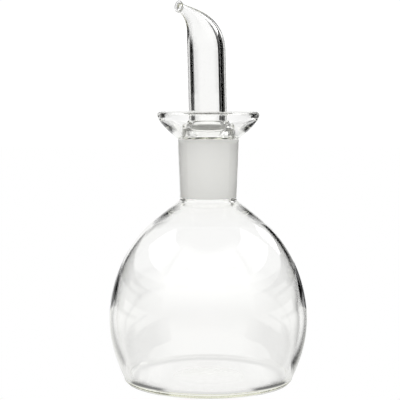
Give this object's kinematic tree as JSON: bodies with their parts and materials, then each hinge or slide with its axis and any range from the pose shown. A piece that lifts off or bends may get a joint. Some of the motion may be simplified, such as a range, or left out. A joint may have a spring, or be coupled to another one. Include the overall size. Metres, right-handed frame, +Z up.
{
  "type": "glass cruet",
  "caption": "empty clear glass cruet for oil or vinegar: rounded flask with a ground neck and flared drip collar, closed by a hollow ground stopper with a curved pouring spout",
  "frame": {"origin": "centre of the standing ring, on the flask's axis, at the level of the table", "axes": "+Z up along the flask's axis; the spout points between -X and -Y, 39 degrees from -X towards -Y"},
  "size_m": [0.0984, 0.0984, 0.1877],
  "materials": {
    "flask_glass": "clear blown glass, polished outside, neck bore ground matt",
    "stopper_glass": "clear glass tube, plug ground matt, mouth fire-polished"
  },
  "bodies": {
    "root": {"flask": "flask_glass", "stopper": "stopper_glass"}
  },
  "joints": []
}
